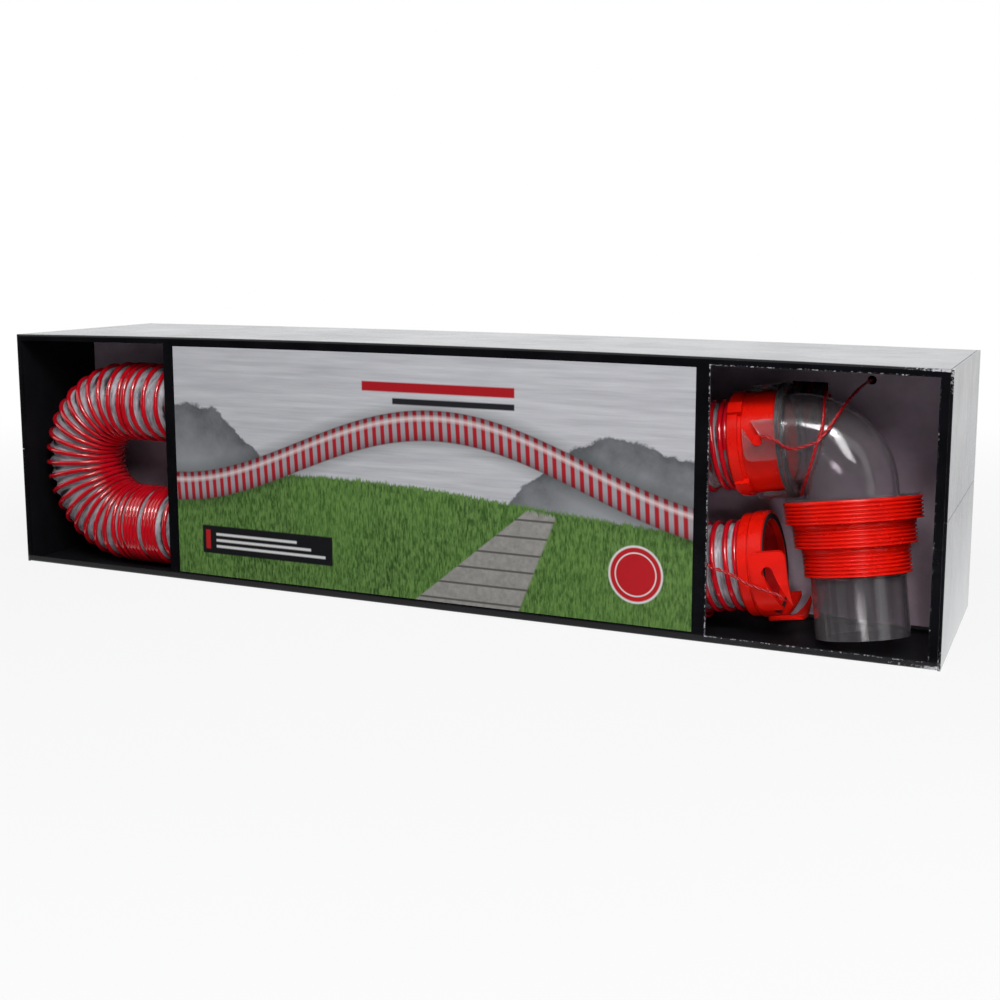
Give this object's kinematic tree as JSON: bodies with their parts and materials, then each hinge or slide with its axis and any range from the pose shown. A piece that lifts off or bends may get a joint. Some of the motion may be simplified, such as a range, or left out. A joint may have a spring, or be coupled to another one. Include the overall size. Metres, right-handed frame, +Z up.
{
  "type": "sewer hose kit",
  "caption": "Boxed sewer hose kit: ribbed drain hoses with bayonet and lug ends, a clear elbow with a stepped thread adapter and drip caps in a windowed carton.",
  "frame": {"origin": "centre of the carton's base, on the surface that it stands on", "axes": "+X along the carton to the end with the elbow, -Y out of the front with the two windows, +Z up"},
  "size_m": [0.934, 0.2235, 0.24],
  "materials": {
    "carton": "gloss laminate",
    "print": "gloss print",
    "divider_card": "matt",
    "hose": "gloss beads on a grey wall",
    "cuff": "gloss",
    "fitting": "gloss",
    "seal": "matt",
    "clear": "clear",
    "cap": "satin",
    "tie": "coated wire"
  },
  "bodies": {
    "carton": {"carton_bottom": "carton", "carton_top": "carton", "carton_back": "carton", "carton_front": "carton", "front_print": "print", "left_front_dust_flap": "carton", "left_back_dust_flap": "carton", "right_front_dust_flap": "carton", "right_back_dust_flap": "carton", "divider": "divider_card", "divider_foot": "carton", "front_hose": "hose", "front_lug_cuff": "cuff", "front_bayonet_cuff": "cuff", "rear_hose": "hose", "rear_lug_cuff": "cuff", "rear_bayonet_cuff": "cuff", "upper_tie": "tie", "lower_tie": "tie"},
    "left_top_flap": {"left_top_flap": "carton"},
    "left_bottom_flap": {"left_bottom_flap": "carton"},
    "right_top_flap": {"right_top_flap": "carton"},
    "right_bottom_flap": {"right_bottom_flap": "carton"},
    "elbow": {"front_lug_fitting": "fitting", "elbow": "clear", "elbow_seal": "seal"},
    "thread_adapter": {"thread_adapter": "fitting"},
    "front_bayonet_end": {"front_bayonet_fitting": "fitting", "front_bayonet_seal": "seal"},
    "rear_lug_end": {"rear_lug_fitting": "fitting"},
    "bayonet_drip_cap": {"bayonet_drip_cap": "cap"},
    "rear_bayonet_end": {"rear_bayonet_fitting": "fitting", "rear_bayonet_seal": "seal", "lug_drip_cap": "cap"}
  },
  "joints": [
    {"name": "left_top_flap_hinge", "type": "hinge", "parent": "carton", "child": "left_top_flap", "pos_m": [-0.467, 0, 0.24], "axis": [0, 1, 0], "range_deg": [0, 180]},
    {"name": "left_bottom_flap_hinge", "type": "hinge", "parent": "carton", "child": "left_bottom_flap", "pos_m": [-0.467, 0, 0], "axis": [0, -1, 0], "range_deg": [0, 90]},
    {"name": "right_top_flap_hinge", "type": "hinge", "parent": "carton", "child": "right_top_flap", "pos_m": [0.467, 0, 0.24], "axis": [0, -1, 0], "range_deg": [0, 180]},
    {"name": "right_bottom_flap_hinge", "type": "hinge", "parent": "carton", "child": "right_bottom_flap", "pos_m": [0.467, 0, 0], "axis": [0, 1, 0], "range_deg": [0, 90]},
    {"name": "elbow_swing", "type": "hinge", "parent": "carton", "child": "elbow", "pos_m": [0.3772, -0.0497, 0.1768], "axis": [-0.9903, 0, -0.1392], "range_deg": [0, 72], "deforming": ["upper_tie"]},
    {"name": "adapter_spin", "type": "hinge", "parent": "elbow", "child": "thread_adapter", "pos_m": [0.38454, -0.0573, 0.12456], "axis": [0.1377, -0.1426, -0.9801], "continuous": true},
    {"name": "front_bayonet_swivel", "type": "hinge", "parent": "carton", "child": "front_bayonet_end", "pos_m": [0.321, -0.0563, 0.0632], "axis": [0.9877, 0, 0.1564], "range_deg": [-25, 90], "deforming": ["lower_tie"]},
    {"name": "rear_lug_swivel", "type": "hinge", "parent": "carton", "child": "rear_lug_end", "pos_m": [0.38, 0.0545, 0.1715], "axis": [1, 0, 0], "continuous": true},
    {"name": "bayonet_drip_cap_twist", "type": "hinge", "parent": "rear_lug_end", "child": "bayonet_drip_cap", "pos_m": [0.4, 0.0545, 0.1715], "axis": [1, 0, 0], "range_deg": [0, 18]},
    {"name": "rear_bayonet_swivel", "type": "hinge", "parent": "carton", "child": "rear_bayonet_end", "pos_m": [0.38, 0.0545, 0.0524], "axis": [1, 0, 0], "continuous": true}
  ]
}
